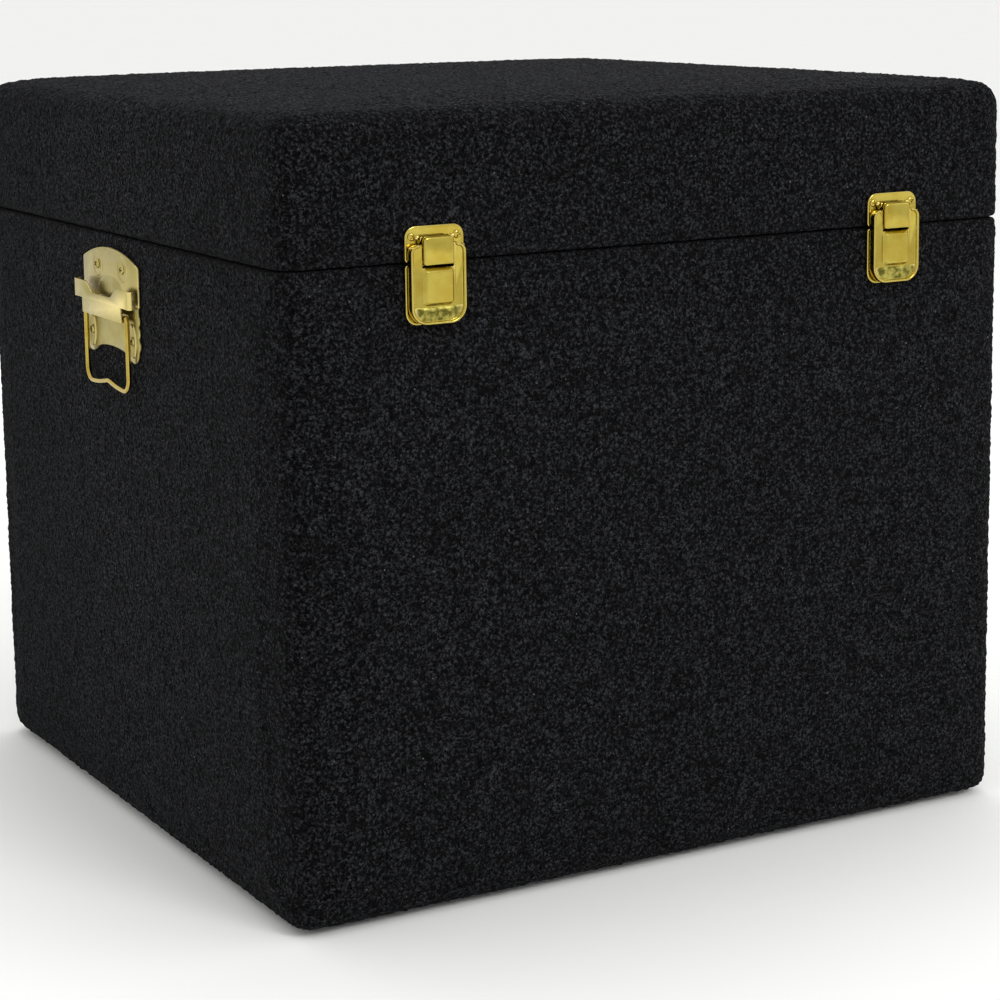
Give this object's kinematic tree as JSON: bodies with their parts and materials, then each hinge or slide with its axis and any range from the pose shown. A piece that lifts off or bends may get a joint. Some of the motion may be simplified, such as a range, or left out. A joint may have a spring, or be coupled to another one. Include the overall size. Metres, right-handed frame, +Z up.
{
  "type": "storage ottoman",
  "caption": "Square storage ottoman covered in looped fabric, with a hinged lid, front draw latches and wire side handles.",
  "frame": {"origin": "middle of the footprint, on the floor that the glides stand on", "axes": "+Z up; the front with the draw latches faces -Y; the side handles are on -X and +X; left and right are as seen from the front"},
  "size_m": [0.4486, 0.4332, 0.402],
  "materials": {
    "boucle": "black looped boucle knit, matt, slightly padded",
    "fibreboard": "raw medium-density fibreboard",
    "lining": "black woven polyester lining",
    "dust_cloth": "black spun-bonded non-woven cloth",
    "foam": "cream upholstery foam",
    "nylon": "black moulded nylon",
    "polished_brass": "bright brass-plated pressed steel",
    "satin_brass": "pale satin brass-plated pressed steel"
  },
  "bodies": {
    "body": {"body_cover": "boucle", "front_panel": "fibreboard", "back_panel": "fibreboard", "left_panel": "fibreboard", "right_panel": "fibreboard", "bottom_panel": "fibreboard", "body_lining": "lining", "floor_pad": "lining", "dust_cover": "dust_cloth", "glide_front_left": "nylon", "glide_front_right": "nylon", "glide_back_left": "nylon", "glide_back_right": "nylon", "latch_base_left": "polished_brass", "latch_base_right": "polished_brass", "latch_lever_pin_left": "polished_brass", "latch_lever_pin_right": "polished_brass", "handle_top_plate_left": "satin_brass", "handle_top_plate_right": "satin_brass", "handle_foot_plate_left": "satin_brass", "handle_foot_plate_right": "satin_brass", "handle_bracket_left": "satin_brass", "handle_bracket_right": "satin_brass", "handle_screw_left_1": "satin_brass", "handle_screw_left_2": "satin_brass", "handle_screw_left_3": "satin_brass", "handle_screw_left_4": "satin_brass", "handle_screw_right_1": "satin_brass", "handle_screw_right_2": "satin_brass", "handle_screw_right_3": "satin_brass", "handle_screw_right_4": "satin_brass", "hinge_body_leaf_left": "polished_brass", "hinge_body_leaf_right": "polished_brass", "hinge_pin_left": "polished_brass", "hinge_pin_right": "polished_brass"},
    "lid": {"lid_cover": "boucle", "lid_foam": "foam", "lid_board": "fibreboard", "lid_front_rail": "fibreboard", "lid_back_rail": "fibreboard", "lid_left_rail": "fibreboard", "lid_right_rail": "fibreboard", "lid_lining": "lining", "latch_keeper_left": "polished_brass", "latch_keeper_right": "polished_brass", "latch_keeper_screw_left_1": "polished_brass", "latch_keeper_screw_left_2": "polished_brass", "latch_keeper_screw_right_1": "polished_brass", "latch_keeper_screw_right_2": "polished_brass", "hinge_lid_leaf_left": "polished_brass", "hinge_lid_leaf_right": "polished_brass"},
    "lever_left": {"latch_lever_left": "polished_brass", "latch_hook_pin_left": "polished_brass"},
    "hook_left": {"latch_hook_left": "polished_brass"},
    "lever_right": {"latch_lever_right": "polished_brass", "latch_hook_pin_right": "polished_brass"},
    "hook_right": {"latch_hook_right": "polished_brass"},
    "bail_left": {"handle_bail_left": "satin_brass"},
    "bail_right": {"handle_bail_right": "satin_brass"}
  },
  "joints": [
    {"name": "lid_hinge", "type": "hinge", "parent": "body", "child": "lid", "pos_m": [0, 0.2139, 0.325], "axis": [-1, 0, 0], "range_deg": [0, 100]},
    {"name": "lever_left_pivot", "type": "hinge", "parent": "body", "child": "lever_left", "pos_m": [-0.136, -0.2133, 0.3328], "axis": [-1, 0, 0], "range_deg": [0, 95]},
    {"name": "hook_left_pivot", "type": "hinge", "parent": "lever_left", "child": "hook_left", "pos_m": [-0.136, -0.2137, 0.3259], "axis": [-1, 0, 0], "range_deg": [-80, 0]},
    {"name": "lever_right_pivot", "type": "hinge", "parent": "body", "child": "lever_right", "pos_m": [0.136, -0.2133, 0.3328], "axis": [-1, 0, 0], "range_deg": [0, 95]},
    {"name": "hook_right_pivot", "type": "hinge", "parent": "lever_right", "child": "hook_right", "pos_m": [0.136, -0.2137, 0.3259], "axis": [-1, 0, 0], "range_deg": [-80, 0]},
    {"name": "bail_left_pivot", "type": "hinge", "parent": "body", "child": "bail_left", "pos_m": [-0.2215, 0, 0.284], "axis": [0, 1, 0], "range_deg": [0, 130]},
    {"name": "bail_right_pivot", "type": "hinge", "parent": "body", "child": "bail_right", "pos_m": [0.2215, 0, 0.284], "axis": [0, -1, 0], "range_deg": [0, 130]}
  ],
  "couplings": [
    {"joint": "hook_left_pivot", "follows": "lever_left_pivot", "ratio": -0.8},
    {"joint": "hook_right_pivot", "follows": "lever_right_pivot", "ratio": -0.8}
  ]
}
